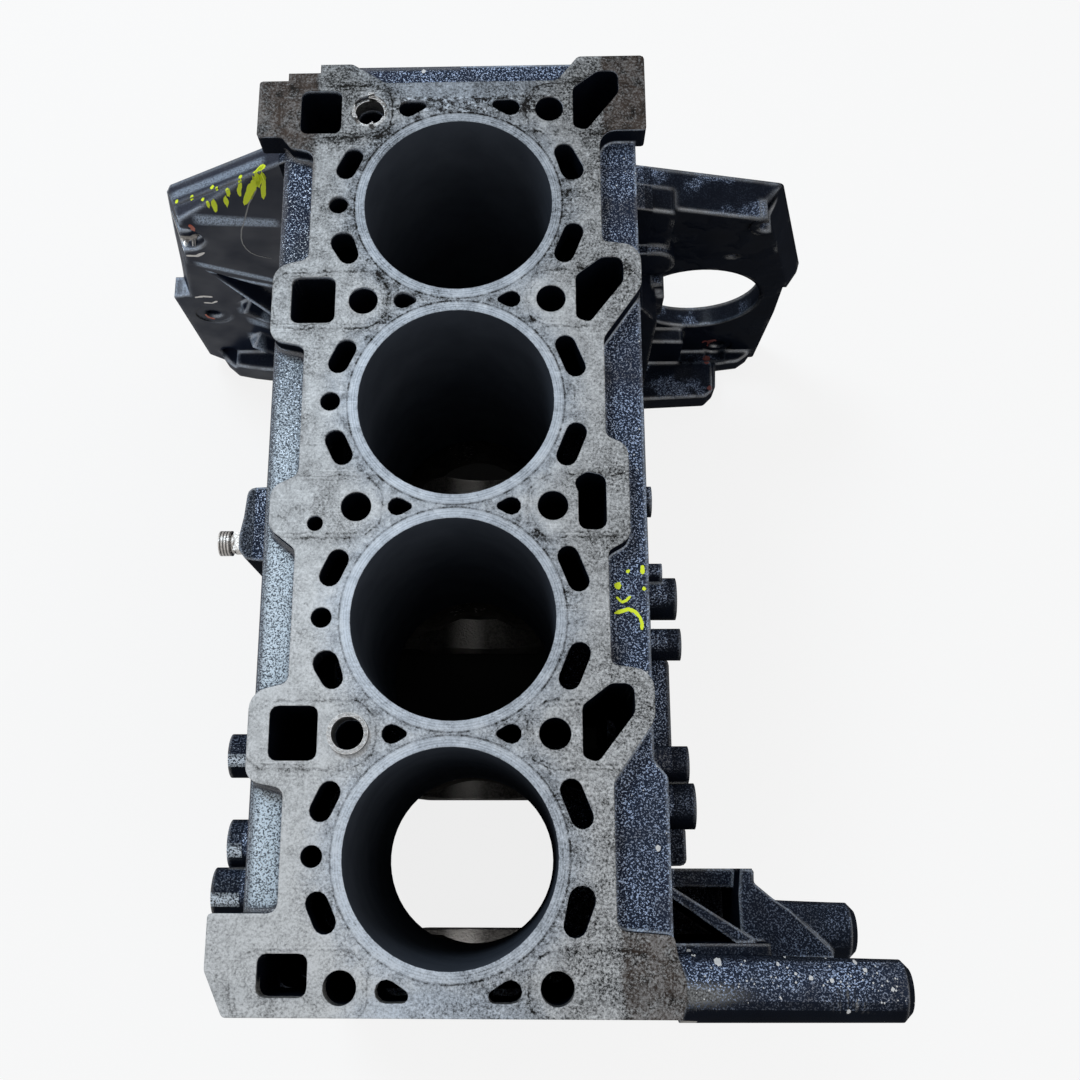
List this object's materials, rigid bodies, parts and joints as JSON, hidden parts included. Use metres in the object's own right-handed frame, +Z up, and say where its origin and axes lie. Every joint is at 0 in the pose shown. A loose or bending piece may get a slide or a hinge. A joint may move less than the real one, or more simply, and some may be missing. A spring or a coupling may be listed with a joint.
{
  "type": "engine block",
  "caption": "Inline engine block with open crankcase bays, main bearing caps, head bolt holes, coolant slots, side bosses, a front bracket and a winged transmission flange",
  "frame": {"origin": "on the crankshaft axis, midway between the first and last head bolt rows", "axes": "+Y to the transmission end, +Z up the cylinders to the deck, +X to the side with the starter bore and the front bracket"},
  "size_m": [0.4085, 0.4383, 0.3275],
  "materials": {
    "painted_iron": "rough sand casting under glossy black paint; deck, ears and bores machined bare",
    "cap_iron": "oily cast iron, machined bore and faces",
    "bolt_steel": "blackened steel",
    "sleeve_steel": "bare spring steel",
    "plug_steel": "pressed steel painted over with the block",
    "union_steel": "zinc plated steel",
    "copper": "annealed copper"
  },
  "bodies": {
    "root": {"block_casting": "painted_iron", "main_cap_1": "cap_iron", "main_cap_2": "cap_iron", "main_cap_3": "cap_iron", "main_cap_4": "cap_iron", "main_cap_5": "cap_iron", "cap_bolt_1_left": "bolt_steel", "cap_bolt_1_right": "bolt_steel", "cap_bolt_2_left": "bolt_steel", "cap_bolt_2_right": "bolt_steel", "cap_bolt_3_left": "bolt_steel", "cap_bolt_3_right": "bolt_steel", "cap_bolt_4_left": "bolt_steel", "cap_bolt_4_right": "bolt_steel", "cap_bolt_5_left": "bolt_steel", "cap_bolt_5_right": "bolt_steel", "head_sleeve_front": "sleeve_steel", "head_sleeve_rear": "sleeve_steel", "core_plug_left_front": "plug_steel", "core_plug_left_middle": "plug_steel", "core_plug_left_rear": "plug_steel", "core_plug_right_middle": "plug_steel", "core_plug_right_rear": "plug_steel", "core_plug_end": "plug_steel", "gallery_plug_front": "plug_steel", "gallery_plug_rear": "plug_steel", "oil_union": "union_steel", "oil_union_washer": "copper"}
  },
  "joints": []
}
